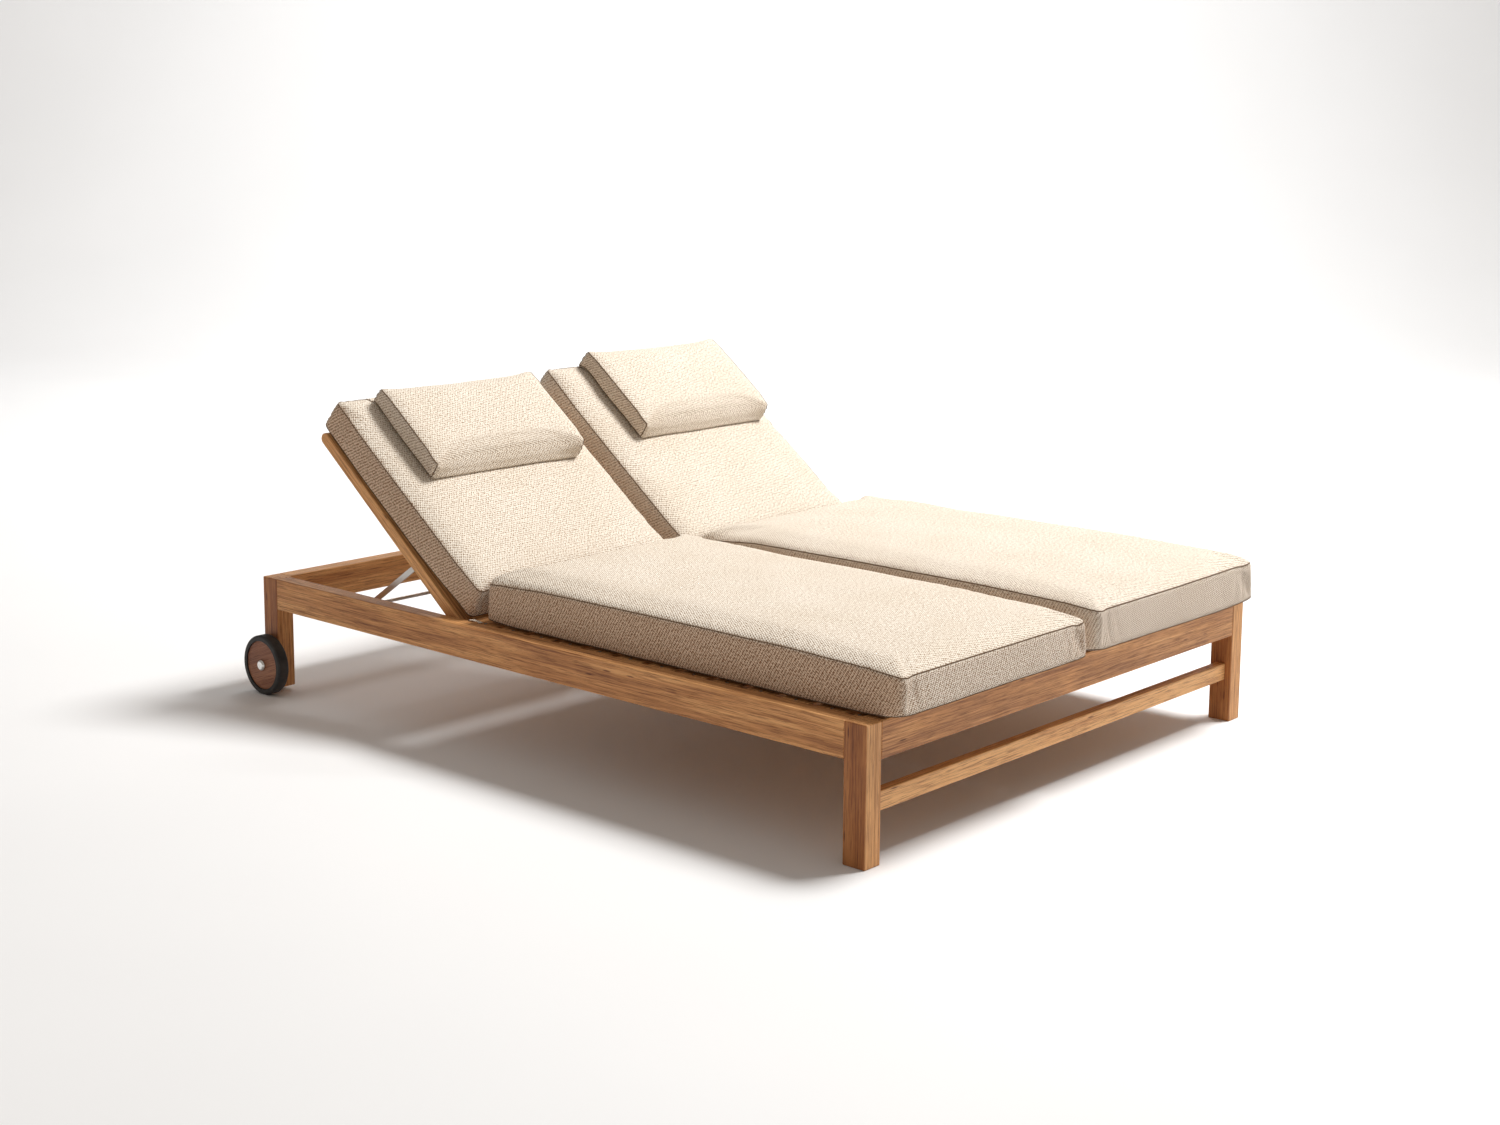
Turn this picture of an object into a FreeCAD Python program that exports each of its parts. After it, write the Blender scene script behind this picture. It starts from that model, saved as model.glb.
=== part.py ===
import FreeCAD
import Part
import Sketcher

import os
import re

# Double reclining sun lounger, in millimetres.
# +X runs towards the foot end, +Y towards the far side, +Z up. The origin lies on the ground, under
# the middle of the whole lounger: from the wheels at the head end to the cushion at the foot end.
# "near" pieces lie at -Y and "far" pieces at +Y. Each backrest is drawn lying flat, measured from
# its pivot, and is then turned up about the pivot by back_angle.

SIZES = {
    # frame
    "frame_length": 2000.0,
    "frame_width": 1500.0,
    "rail_height": 300.0,
    "rail_depth": 80.0,
    "side_rail_width": 44.0,
    "head_rail_width": 47.0,
    "foot_rail_width": 50.0,
    "leg_length": 58.0,
    "leg_width": 50.0,
    "arris": 2.5,
    "stretcher_width": 26.0,
    "stretcher_depth": 42.0,
    "stretcher_height": 105.0,
    "stretcher_setback": 16.0,
    "centre_rail_width": 40.0,
    "centre_rail_depth": 82.0,
    # legs at the wheeled end
    "head_leg_clear": 12.0,
    # seat slats
    "seat_start": 59.2,
    "slat_width": 76.4,
    "slat_gap": 20.0,
    "slat_thickness": 18.0,
    "slat_drop": 3.0,
    "slat_end_gap": 1.0,
    "closing_slat_width": 28.0,
    "cleat_width": 20.0,
    "cleat_depth": 25.0,
    "screw_head_radius": 4.0,
    "screw_head_rise": 1.6,
    "screw_radius": 2.0,
    "screw_length": 34.0,
    # backrests
    "pivot_from_head": 706.0,
    "pivot_drop": 18.0,
    "back_angle": 38.3,
    "back_end_gap": 9.0,
    "back_tail": 20.0,
    "back_side_gap": 1.0,
    "back_centre_gap": 4.0,
    "stile_width": 42.0,
    "stile_depth": 30.0,
    "back_slat_width": 74.0,
    "back_slat_end": 9.0,
    "hinge_pin_radius": 5.0,
    "hinge_pin_bite": 30.0,
    "running_clearance": 0.05,
    # steel stays that prop the backrests, and their racks
    "stay_pin_up": 217.0,
    "stay_pin_drop": 22.0,
    "stay_pin_radius": 4.0,
    "stay_length": 250.4,
    "arm_radius": 7.0,
    "arm_thickness": 4.0,
    "lug_length": 28.0,
    "lug_height": 26.0,
    "lug_thickness": 3.0,
    "lug_edge": 8.0,
    "rod_radius": 4.5,
    "rod_drop": 42.0,
    "rod_end_gap": 3.0,
    "rack_width": 20.0,
    "rack_depth": 36.0,
    "rack_length": 220.0,
    "rack_ahead": 105.0,
    "rack_clear": 1.0,
    "notch_radius": 6.0,
    "notch_pitch": 42.3,
    # wheels
    "wheel_radius": 77.5,
    "axle_from_head": 40.0,
    "wheel_gap": 10.0,
    "tyre_width": 32.0,
    "tyre_depth": 14.0,
    "tyre_rounding": 6.0,
    "disc_width": 25.0,
    "disc_rounding": 2.0,
    "axle_radius": 6.0,
    "collar_radius": 11.0,
    "wheel_side_play": 0.3,
    "cap_radius": 14.5,
    "cap_height": 7.5,
    "cap_rounding": 6.0,
    # cushions, pillows and the pillows' flaps
    "cushion_overhang": 45.0,
    "far_cushion_setback": 9.0,
    "near_cushion_gap": 10.0,
    "far_cushion_gap": 28.0,
    "near_cushion_inset": 53.0,
    "far_cushion_inset": 29.0,
    "cushion_air": 0.5,
    "seat_cushion_from_pivot": 99.0,
    "seat_cushion_depth": 105.0,
    "back_cushion_depth": 85.0,
    "near_cushion_over": 22.0,
    "far_cushion_over": 45.0,
    "back_cushion_tail": 15.0,
    "tail_bevel_length": 27.0,
    "tail_bevel_rise": 43.0,
    "pillow_width": 520.0,
    "pillow_length": 284.0,
    "pillow_depth": 68.0,
    "near_pillow_drop": 27.0,
    "near_pillow_gap": 88.0,
    "far_pillow_drop": 7.0,
    "far_pillow_gap": 142.0,
    "flap_width": 500.0,
    "flap_thickness": 2.0,
    "flap_drop": 72.0,
}
BACK_SLATS = 7
NOTCHES = 4
SIDES = ("near", "far")

# Places that several pieces share, as expressions in the sizes above.
HEAD = "(-(frame_length + cushion_overhang + axle_from_head - wheel_radius) / 2)"
FOOT = f"({HEAD} + frame_length)"
RAIL_BOTTOM = "(rail_height - rail_depth)"
SLAT_TOP = "(rail_height - slat_drop)"
SLAT_BOTTOM = f"({SLAT_TOP} - slat_thickness)"
PIVOT_X = f"({HEAD} + pivot_from_head)"
PIVOT_Z = "(rail_height - pivot_drop)"
SEAT_HEAD = f"({PIVOT_X} + seat_start)"
CLOSING_SLAT = f"({FOOT} - foot_rail_width - closing_slat_width)"
BACK_LENGTH = "(pivot_from_head - head_rail_width - back_end_gap)"
BACK_OUTER = "(leg_width + back_side_gap)"
BACK_WIDTH = f"(frame_width / 2 - {BACK_OUTER} - centre_rail_width / 2 - back_centre_gap)"
PIN_X = f"({PIVOT_X} - cos(back_angle * 1 deg) * stay_pin_up - sin(back_angle * 1 deg) * stay_pin_drop)"
PIN_Z = f"({PIVOT_Z} + sin(back_angle * 1 deg) * stay_pin_up - cos(back_angle * 1 deg) * stay_pin_drop)"
ROD_Z = "(rail_height - rod_drop)"
STAY_RISE = f"(({PIN_Z} - {ROD_Z}) / stay_length)"
STAY_ANGLE = f"asin({STAY_RISE}) / 1 deg"
ROD_X = f"({PIN_X} - stay_length * sqrt(1 - {STAY_RISE} * {STAY_RISE}))"
AXLE_X = f"({HEAD} + axle_from_head)"
CUSHION_BOTTOM = "(rail_height + cushion_air)"
BACK_CUSHION_BOTTOM = "(pivot_drop + cushion_air)"
BACK_CUSHION_TOP = f"({BACK_CUSHION_BOTTOM} + back_cushion_depth)"
FLAT = "0"

# As many slats as fill the seat at about the wanted gap, spaced evenly.
SEAT_ZONE = (SIZES["frame_length"] - SIZES["pivot_from_head"] - SIZES["seat_start"]
             - SIZES["foot_rail_width"] - SIZES["closing_slat_width"])
SEAT_SLATS = round(SEAT_ZONE / (SIZES["slat_width"] + SIZES["slat_gap"]))
SLAT_PITCH = f"(({CLOSING_SLAT} - {SEAT_HEAD}) / {SEAT_SLATS})"

document = FreeCAD.newDocument("sun_lounger")
sheet = document.addObject("Spreadsheet::Sheet", "Sizes")
for row, (alias, value) in enumerate(SIZES.items(), start=1):
    sheet.set(f"A{row}", alias)
    sheet.set(f"B{row}", str(value))
    sheet.setAlias(f"B{row}", alias)
document.recompute()

subparts = []


# ---------------------------------------------------------------- shared helpers


def from_sheet(text):
    """An expression written with bare size names, with each name pointed at the sheet."""
    return re.sub(r"[a-z_]+", lambda m: f"Sizes.{m[0]}" if m[0] in SIZES else m[0], text)


def bind(thing, **properties):
    """Binds properties of a document object to expressions in the sizes."""
    for name, text in properties.items():
        thing.setExpression(name, from_sheet(text))


def subpart(thing, label):
    """Marks a document object as a finished sub-part, written to its own file."""
    thing.Label = label
    subparts.append(thing)
    return thing


def place(thing, x, y, z, axis=(0, 0, 1), angle=FLAT):
    """Puts an object's own origin at a point, turned by an angle about an axis through it."""
    thing.Placement = FreeCAD.Placement(FreeCAD.Vector(), FreeCAD.Rotation(FreeCAD.Vector(*axis), 1.0))
    for name, text in (("x", x), ("y", y), ("z", z)):
        thing.setExpression(f"Placement.Base.{name}", from_sheet(text))
    thing.setExpression("Placement.Rotation.Angle", from_sheet(angle))
    return thing


def place_on_back(thing, x, y, z):
    """Places an object that was drawn with the backrest flat, x and z measured from the pivot."""
    cosine = "cos(back_angle * 1 deg)"
    sine = "sin(back_angle * 1 deg)"
    turned_x = f"{PIVOT_X} + {cosine} * ({x}) + {sine} * ({z})"
    turned_z = f"{PIVOT_Z} - {sine} * ({x}) + {cosine} * ({z})"
    return place(thing, turned_x, y, turned_z, axis=(0, 1, 0), angle="back_angle")


def low_y(side, inset, width):
    """The low Y of a piece that wide whose outer face lies inset from the frame's outer face."""
    if side == "near":
        return f"(-frame_width / 2 + ({inset}))"
    return f"(frame_width / 2 - ({inset}) - ({width}))"


def outward(side):
    """The sign of Y on that side of the lounger."""
    return -1 if side == "near" else 1


def new_sketch(body, plane):
    """A sketch on one of the body's own origin planes."""
    sketch = body.newObject("Sketcher::SketchObject", f"{body.Name}_sketch")
    support = next(f for f in body.Origin.OriginFeatures if f.Role == plane)
    sketch.AttachmentSupport = (support, "")
    sketch.MapMode = "FlatFace"
    return sketch


def set_out(sketch, geometry, point, name, text):
    """Fixes a point's X from the sketch's origin, or puts it on the vertical axis for a zero."""
    if text == FLAT:
        sketch.addConstraint(Sketcher.Constraint("PointOnObject", geometry, point, -2))
        return
    value = abs(sketch.getPoint(geometry, point).x)
    if sketch.getPoint(geometry, point).x > 0:
        constraint = Sketcher.Constraint("DistanceX", -1, 1, geometry, point, value)
    else:
        constraint = Sketcher.Constraint("DistanceX", geometry, point, -1, 1, value)
    index = sketch.addConstraint(constraint)
    sketch.renameConstraint(index, name)
    sketch.setExpression(f"Constraints.{name}", from_sheet(text))


def rectangle(body, plane, width, height, start=FLAT):
    """A rectangle in the first quadrant that begins start away from the vertical axis."""
    sketch = new_sketch(body, plane)
    left = 0.0 if start == FLAT else 5.0
    corners = [(left, 0), (left + 10, 0), (left + 10, 10), (left, 10)]
    points = [FreeCAD.Vector(x, y, 0) for x, y in corners]
    for index in range(4):
        sketch.addGeometry(Part.LineSegment(points[index], points[(index + 1) % 4]))
    for index in range(4):
        sketch.addConstraint(Sketcher.Constraint("Coincident", index, 2, (index + 1) % 4, 1))
    for index, direction in enumerate(("Horizontal", "Vertical", "Horizontal", "Vertical")):
        sketch.addConstraint(Sketcher.Constraint(direction, index))
    sketch.addConstraint(Sketcher.Constraint("PointOnObject", 0, 1, -1))
    set_out(sketch, 0, 1, "start", start)
    for name, kind, line, text in (("width", "DistanceX", 0, width), ("height", "DistanceY", 1, height)):
        index = sketch.addConstraint(Sketcher.Constraint(kind, line, 1, line, 2, 10.0))
        sketch.renameConstraint(index, name)
        sketch.setExpression(f"Constraints.{name}", from_sheet(text))
    return sketch


def bar_outline(body, foot_reach, head_reach, radius, holes):
    """A round-ended bar in the XZ plane. Its end arcs' centres lie those distances from the origin,
    and each hole is (distance towards the head end, radius)."""
    sketch = new_sketch(body, "XZ_Plane")
    right = 0.0 if foot_reach == FLAT else 5.0
    left = -100.0
    up = FreeCAD.Vector(0, 0, 1)
    quarter = 1.5707963267948966
    vector = FreeCAD.Vector
    foot_circle = Part.Circle(vector(right, 0, 0), up, 4.0)
    head_circle = Part.Circle(vector(left, 0, 0), up, 4.0)
    sketch.addGeometry(Part.ArcOfCircle(foot_circle, -quarter, quarter))
    sketch.addGeometry(Part.LineSegment(vector(right, 4, 0), vector(left, 4, 0)))
    sketch.addGeometry(Part.ArcOfCircle(head_circle, quarter, 3 * quarter))
    sketch.addGeometry(Part.LineSegment(vector(left, -4, 0), vector(right, -4, 0)))
    for first in range(4):
        sketch.addConstraint(Sketcher.Constraint("Tangent", first, 2, (first + 1) % 4, 1))
    for arc in (0, 2):
        sketch.addConstraint(Sketcher.Constraint("PointOnObject", arc, 3, -1))
    sketch.addConstraint(Sketcher.Constraint("Equal", 0, 2))
    set_out(sketch, 0, 3, "foot_reach", foot_reach)
    set_out(sketch, 2, 3, "head_reach", head_reach)
    index = sketch.addConstraint(Sketcher.Constraint("Radius", 0, 4.0))
    sketch.renameConstraint(index, "radius")
    sketch.setExpression("Constraints.radius", from_sheet(radius))
    for number, (reach, hole_radius) in enumerate(holes):
        centre = vector(0.0 if reach == FLAT else left, 0, 0)
        circle = sketch.addGeometry(Part.Circle(centre, up, 2.0))
        sketch.addConstraint(Sketcher.Constraint("PointOnObject", circle, 3, -1))
        set_out(sketch, circle, 3, f"hole_reach_{number}", reach)
        index = sketch.addConstraint(Sketcher.Constraint("Radius", circle, 2.0))
        sketch.renameConstraint(index, f"hole_radius_{number}")
        sketch.setExpression(f"Constraints.hole_radius_{number}", from_sheet(hole_radius))
    return sketch


def pad(body, sketch, length):
    """Pads a sketch by an expression. A sketch on the XZ plane pads towards -Y."""
    feature = body.newObject("PartDesign::Pad", f"{body.Name}_pad")
    feature.Profile = sketch
    sketch.Visibility = False
    bind(feature, Length=length)
    document.recompute()
    return feature


def revolve(body, sketch):
    """Turns a sketch on the XY plane about the body's Y axis."""
    feature = body.newObject("PartDesign::Revolution", f"{body.Name}_turn")
    feature.Profile = sketch
    feature.ReferenceAxis = (sketch, ["V_Axis"])
    feature.Angle = 360.0
    document.recompute()
    return feature


def round_edges(body, feature, radius, chosen=None):
    """Rounds all of a feature's edges, or those for which chosen(edge) holds."""
    names = [f"Edge{n}" for n, edge in enumerate(feature.Shape.Edges, start=1) if chosen and chosen(edge)]
    rounding = body.newObject("PartDesign::Fillet", f"{body.Name}_rounding")
    rounding.Base = (feature, names or [""])
    rounding.UseAllEdges = not names
    bind(rounding, Radius=radius)
    document.recompute()
    return rounding


def new_body(label):
    """An empty PartDesign body."""
    return document.addObject("PartDesign::Body", label)


def timber(label, length, width, depth, rounding="arris"):
    """A sawn timber with eased arrises: length along X, width along Y and depth along Z."""
    body = new_body(label)
    block = pad(body, rectangle(body, "XY_Plane", length, width), depth)
    round_edges(body, block, rounding)
    return body


def bevelled_block(label, length, width, depth, bevel_length, bevel_depth):
    """A block whose lower edge at the +X end is bevelled, by unequal amounts along X and Z."""
    body = new_body(label)
    block = pad(body, rectangle(body, "XY_Plane", length, width), depth)
    edges = [(edge.CenterOfMass, n) for n, edge in enumerate(block.Shape.Edges, start=1)]
    across = [(c, n) for c, n in edges if abs(c.z) < 0.01 and abs(c.y - block.Shape.CenterOfMass.y) < 0.01]
    picked = max(across, key=lambda item: item[0].x)[1]
    bevel = body.newObject("PartDesign::Chamfer", f"{label}_bevel")
    bevel.Base = (block, [f"Edge{picked}"])
    bevel.ChamferType = "Two distances"
    bind(bevel, Size=bevel_depth, Size2=bevel_length)
    document.recompute()
    return body


def round_bar(name, radius, length, x, y, z):
    """A cylinder along +Y that starts at a point."""
    bar = document.addObject("Part::Cylinder", name)
    bind(bar, Radius=radius, Height=length)
    return place(bar, x, y, z, axis=(-1, 0, 0), angle="90")


def round_bar_on_back(name, radius, length, x, y, z):
    """A cylinder along +Y that starts at a point given with the backrest flat."""
    cosine = "cos(back_angle * 1 deg)"
    sine = "sin(back_angle * 1 deg)"
    turned_x = f"{PIVOT_X} + {cosine} * ({x}) + {sine} * ({z})"
    turned_z = f"{PIVOT_Z} - {sine} * ({x}) + {cosine} * ({z})"
    return round_bar(name, radius, length, turned_x, y, turned_z)


def cut(label, base, tool):
    """One object with another cut out of it, as a sub-part."""
    result = document.addObject("Part::Cut", f"{label}_cut")
    result.Base = base
    result.Tool = tool
    return subpart(result, label)


def group(label, pieces):
    """Several separate, alike solids that share one sub-part."""
    result = document.addObject("Part::Compound", f"{label}_group")
    result.Links = pieces
    return subpart(result, label)


# ---------------------------------------------------------------- frame


def foot_leg(side):
    leg = timber(f"leg_foot_{side}", "leg_length", "leg_width", "rail_height")
    place(leg, f"{FOOT} - leg_length", low_y(side, "0", "leg_width"), "0")
    subpart(leg, f"leg_foot_{side}")


def head_leg(side):
    """The post beside the wheel, bored for the axle."""
    post = timber(f"post_{side}", "leg_length", "leg_width", "rail_height - head_leg_clear")
    place(post, HEAD, low_y(side, "0", "leg_width"), "head_leg_clear")
    start = low_y(side, "0", "leg_width")
    bore = round_bar(f"axle_bore_{side}", "axle_radius", "leg_width", AXLE_X, start, "wheel_radius")
    cut(f"leg_head_{side}", post, bore)


def side_rail(side):
    """A side rail between its two legs, with a blind bore for the backrest's outer hinge pin."""
    rail = timber(f"rail_{side}", "frame_length - 2 * leg_length", "side_rail_width", "rail_depth")
    place(rail, f"{HEAD} + leg_length", low_y(side, "0", "side_rail_width"), RAIL_BOTTOM)
    start = low_y(side, "side_rail_width - hinge_pin_bite", "hinge_pin_bite")
    bore = round_bar(f"hinge_bore_{side}", "hinge_pin_radius", "hinge_pin_bite", PIVOT_X, start, PIVOT_Z)
    cut(f"side_rail_{side}", rail, bore)


def cross_rails():
    """The head rail and the foot rail, between the legs."""
    span = "frame_width - 2 * leg_width"
    start = "-frame_width / 2 + leg_width"
    head = timber("head_rail", "head_rail_width", span, "rail_depth")
    subpart(place(head, HEAD, start, RAIL_BOTTOM), "head_rail")
    foot = timber("foot_rail", "foot_rail_width", span, "rail_depth")
    subpart(place(foot, f"{FOOT} - foot_rail_width", start, RAIL_BOTTOM), "foot_rail")


def stretcher():
    """The thin rail low down between the two foot legs."""
    bar = timber("stretcher", "stretcher_width", "frame_width - 2 * leg_width", "stretcher_depth")
    x = f"{FOOT} - stretcher_setback - stretcher_width"
    subpart(place(bar, x, "-frame_width / 2 + leg_width", "stretcher_height"), "stretcher")


def centre_rail():
    """The rail down the middle: as high as the slats at the head end, and rebated under the seat."""
    start = f"({HEAD} + head_rail_width)"
    end = f"({FOOT} - foot_rail_width)"
    beam = timber("centre_beam", f"{end} - {start}", "centre_rail_width", "centre_rail_depth")
    place(beam, start, "-centre_rail_width / 2", f"{SLAT_TOP} - centre_rail_depth")
    rebate = document.addObject("Part::Box", "seat_rebate")
    bind(rebate, Length=f"{end} - {SEAT_HEAD} + slat_end_gap", Width="centre_rail_width")
    bind(rebate, Height="slat_thickness")
    place(rebate, f"{SEAT_HEAD} - slat_end_gap", "-centre_rail_width / 2", SLAT_BOTTOM)
    y = "-centre_rail_width / 2"
    bore = round_bar("centre_bore", "hinge_pin_radius", "centre_rail_width", PIVOT_X, y, PIVOT_Z)
    tools = document.addObject("Part::MultiFuse", "centre_rail_cuts")
    tools.Shapes = [rebate, bore]
    cut("centre_rail", beam, tools)


def cleat(side):
    """The batten inside a side rail that carries the slats' ends."""
    length = f"{FOOT} - leg_length - {SEAT_HEAD}"
    bar = timber(f"slat_cleat_{side}", length, "cleat_width", "cleat_depth", "arris / 2")
    place(bar, SEAT_HEAD, low_y(side, "side_rail_width", "cleat_width"), f"{SLAT_BOTTOM} - cleat_depth")
    subpart(bar, f"slat_cleat_{side}")


def seat_slat_places():
    """Each seat slat's label, the X at which it begins and its width, from the backrests to the foot rail."""
    places = [(f"seat_slat_{number:02d}", f"({SEAT_HEAD} + {SLAT_PITCH} * {number - 1})", "slat_width")
              for number in range(1, SEAT_SLATS + 1)]
    return places + [("closing_slat", CLOSING_SLAT, "closing_slat_width")]


def seat_slats():
    span = "frame_width - 2 * leg_width - 2 * slat_end_gap"
    for label, start, width in seat_slat_places():
        slat = timber(label, width, span, "slat_thickness")
        place(slat, start, "-frame_width / 2 + leg_width + slat_end_gap", SLAT_BOTTOM)
        subpart(slat, label)


def slat_screws():
    """Pan-head screws that hold each seat slat to the two cleats and to the centre rail."""
    slat_end = "(frame_width / 2 - leg_width - slat_end_gap)"
    cleat_inside = "(frame_width / 2 - side_rail_width - cleat_width)"
    on_cleat = f"(({slat_end} + {cleat_inside}) / 2)"
    screws = []
    for slat, start, width in seat_slat_places():
        for place_name, y in (("near", f"-{on_cleat}"), ("middle", "0"), ("far", on_cleat)):
            head = document.addObject("Part::Cylinder", f"screw_head_{slat}_{place_name}")
            bind(head, Radius="screw_head_radius", Height="screw_head_rise")
            place(head, f"{start} + {width} / 2", y, SLAT_TOP)
            shank = document.addObject("Part::Cylinder", f"screw_shank_{slat}_{place_name}")
            bind(shank, Radius="screw_radius", Height="screw_length")
            place(shank, f"{start} + {width} / 2", y, f"{SLAT_TOP} - screw_length")
            screw = document.addObject("Part::Fuse", f"screw_{slat}_{place_name}")
            screw.Base = head
            screw.Tool = shank
            screws.append(screw)
    group("slat_screws", screws)


def hinge_pins():
    """Steel pins that the backrests turn on: one in each side rail, and one through the centre rail."""
    outer_length = f"(hinge_pin_bite + {BACK_OUTER} - side_rail_width + hinge_pin_bite)"
    pins = []
    for side in SIDES:
        start = low_y(side, "side_rail_width - hinge_pin_bite", outer_length)
        pin = round_bar(f"hinge_pin_{side}", "hinge_pin_radius", outer_length, PIVOT_X, start, PIVOT_Z)
        pins.append(pin)
    reach = "(centre_rail_width / 2 + back_centre_gap + hinge_pin_bite)"
    centre = round_bar("hinge_pin_centre", "hinge_pin_radius", f"2 * {reach}", PIVOT_X, f"-{reach}", PIVOT_Z)
    pins.append(centre)
    group("hinge_pins", pins)


# ---------------------------------------------------------------- backrests


def stile(side, position):
    """One long side of a backrest: a round-ended bar bored for its hinge pin."""
    label = f"back_stile_{position}_{side}"
    body = new_body(label)
    half = "(stile_depth / 2)"
    bore = (FLAT, "hinge_pin_radius + running_clearance")
    outline = bar_outline(body, f"back_tail - {half}", f"{BACK_LENGTH} - {half}", half, [bore])
    bar = pad(body, outline, "stile_width")
    depth = bar.Shape.BoundBox
    hole = SIZES["hinge_pin_radius"] + SIZES["running_clearance"]

    def on_a_face(edge):
        box = edge.BoundBox
        flat = box.YLength < 0.01
        in_face = min(abs(box.YMin - depth.YMin), abs(box.YMax - depth.YMax)) < 0.01
        return flat and in_face and box.XLength > 2 * hole + 1

    round_edges(body, bar, "arris", on_a_face)
    inset = BACK_OUTER if position == "outer" else f"({BACK_OUTER} + {BACK_WIDTH} - stile_width)"
    place_on_back(body, "0", f"{low_y(side, inset, 'stile_width')} + stile_width", "0")
    subpart(body, label)


def back_slats(side):
    """The slats of one backrest, flush with the tops of its stiles."""
    first = f"({BACK_LENGTH} - stile_depth / 2)"
    pitch = f"(({first} - back_slat_width + back_slat_end) / {BACK_SLATS - 1})"
    slats = []
    for number in range(BACK_SLATS):
        slat = timber(f"back_slat_{side}_{number + 1}", "back_slat_width",
                      f"{BACK_WIDTH} - 2 * stile_width", "slat_thickness", "arris / 2")
        x = f"-{first} + {pitch} * {number}"
        y = low_y(side, f"({BACK_OUTER} + stile_width)", f"({BACK_WIDTH} - 2 * stile_width)")
        place_on_back(slat, x, y, "stile_depth / 2 - slat_thickness")
        slats.append(slat)
    group(f"back_slats_{side}", slats)


def stay_lugs(side):
    """Two steel plates on the stiles' inner faces, each with the pin that a stay's arm turns on."""
    lugs = []
    for position in ("outer", "inner"):
        facing = outward(side) * (-1 if position == "outer" else 1)
        face = stile_inner_face(side, position)
        name = f"stay_lug_{position}_{side}"
        plate = document.addObject("Part::Box", f"{name}_plate")
        bind(plate, Length="lug_length", Width="lug_thickness", Height="lug_height")
        plate_y = face if facing > 0 else f"({face} - lug_thickness)"
        lug_z = "-stay_pin_drop - lug_edge"
        place_on_back(plate, "-stay_pin_up - lug_length / 2", plate_y, lug_z)
        reach = "(lug_thickness + running_clearance + arm_thickness + 1)"
        pin_y = face if facing > 0 else f"({face} - {reach})"
        pin = round_bar_on_back(f"{name}_pin", "stay_pin_radius", reach,
                                "-stay_pin_up", pin_y, "-stay_pin_drop")
        lug = document.addObject("Part::Fuse", name)
        lug.Base = plate
        lug.Tool = pin
        lugs.append(lug)
    group(f"stay_lugs_{side}", lugs)


def stile_inner_face(side, position):
    """The Y of the face of a stile that looks at the other stile of the same backrest."""
    inset = f"({BACK_OUTER} + stile_width)"
    if position == "inner":
        inset = f"({BACK_OUTER} + {BACK_WIDTH} - stile_width)"
    if side == "near":
        return f"(-frame_width / 2 + {inset})"
    return f"(frame_width / 2 - {inset})"


def stay_arms(side):
    """The two flat steel arms of a stay, from the lugs' pins down to the rod."""
    arms = []
    for position in ("outer", "inner"):
        facing = outward(side) * (-1 if position == "outer" else 1)
        body = new_body(f"stay_arm_{position}_{side}")
        holes = [(FLAT, "stay_pin_radius + running_clearance"), ("stay_length", "rod_radius")]
        outline = bar_outline(body, FLAT, "stay_length", "arm_radius", holes)
        pad(body, outline, "arm_thickness")
        gap = "(lug_thickness + 0.5)"
        face = stile_inner_face(side, position)
        y = f"({face} + {gap} + arm_thickness)" if facing > 0 else f"({face} - {gap})"
        place(body, PIN_X, y, PIN_Z, axis=(0, 1, 0), angle=f"-{STAY_ANGLE}")
        arms.append(body)
    group(f"stay_arms_{side}", arms)


def stay_rod(side):
    """The rod that joins a stay's arms and rests in the racks."""
    span = "(frame_width / 2 - side_rail_width - centre_rail_width / 2 - 2 * rod_end_gap)"
    y = low_y(side, "(side_rail_width + rod_end_gap)", span)
    rod = round_bar(f"stay_rod_{side}", "rod_radius", span, ROD_X, y, ROD_Z)
    subpart(rod, f"stay_rod_{side}")


def stay_racks(side):
    """The notched battens on the side rail and on the centre rail that hold the stay's rod."""
    top = f"({ROD_Z} - rod_radius - rack_clear)"
    start = f"({ROD_X} + rack_ahead - rack_length)"
    racks = []
    for position in ("outer", "inner"):
        name = f"stay_rack_{position}_{side}"
        body = new_body(name)
        block = pad(body, rectangle(body, "XY_Plane", "rack_length", "rack_width"), "rack_depth")
        round_edges(body, block, "arris / 2")
        inset = "side_rail_width"
        if position == "inner":
            inset = "(frame_width / 2 - centre_rail_width / 2 - rack_width)"
        y = low_y(side, inset, "rack_width")
        place(body, start, y, f"{top} - rack_depth")
        notches = []
        for notch in range(NOTCHES):
            x = f"{ROD_X} + notch_pitch * {notch - 1}"
            cutter = round_bar(f"notch_{position}_{side}_{notch + 1}", "notch_radius", "rack_width",
                               x, y, f"{top} + rod_radius / 2")
            notches.append(cutter)
        tool = document.addObject("Part::MultiFuse", f"{name}_notches")
        tool.Shapes = notches
        rack = document.addObject("Part::Cut", f"{name}_cut")
        rack.Base = body
        rack.Tool = tool
        racks.append(rack)
    group(f"stay_racks_{side}", racks)


# ---------------------------------------------------------------- wheels


def turned(label, inner, outer, width):
    """A ring or disc about the Y axis, from Y = 0 outwards."""
    body = new_body(label)
    depth = f"({outer}) - ({inner})"
    ring = revolve(body, rectangle(body, "XY_Plane", depth, width, start=inner))
    return body, ring


def at_wheel(body, side, distance):
    """Puts a turned piece on the axle's line, that far outwards of the frame's side face."""
    if side == "near":
        y = f"-frame_width / 2 - ({distance})"
        return place(body, AXLE_X, y, "wheel_radius", angle="180")
    return place(body, AXLE_X, f"frame_width / 2 + ({distance})", "wheel_radius")


def is_rim(size_name):
    """Picks circular edges whose radius is that size's."""
    radius = SIZES[size_name]

    def chosen(edge):
        return edge.Curve.TypeId == "Part::GeomCircle" and abs(edge.Curve.Radius - radius) < 0.01

    return chosen


DISC_START = "(wheel_gap + (tyre_width - disc_width) / 2)"
DISC_END = f"({DISC_START} + disc_width)"


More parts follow.
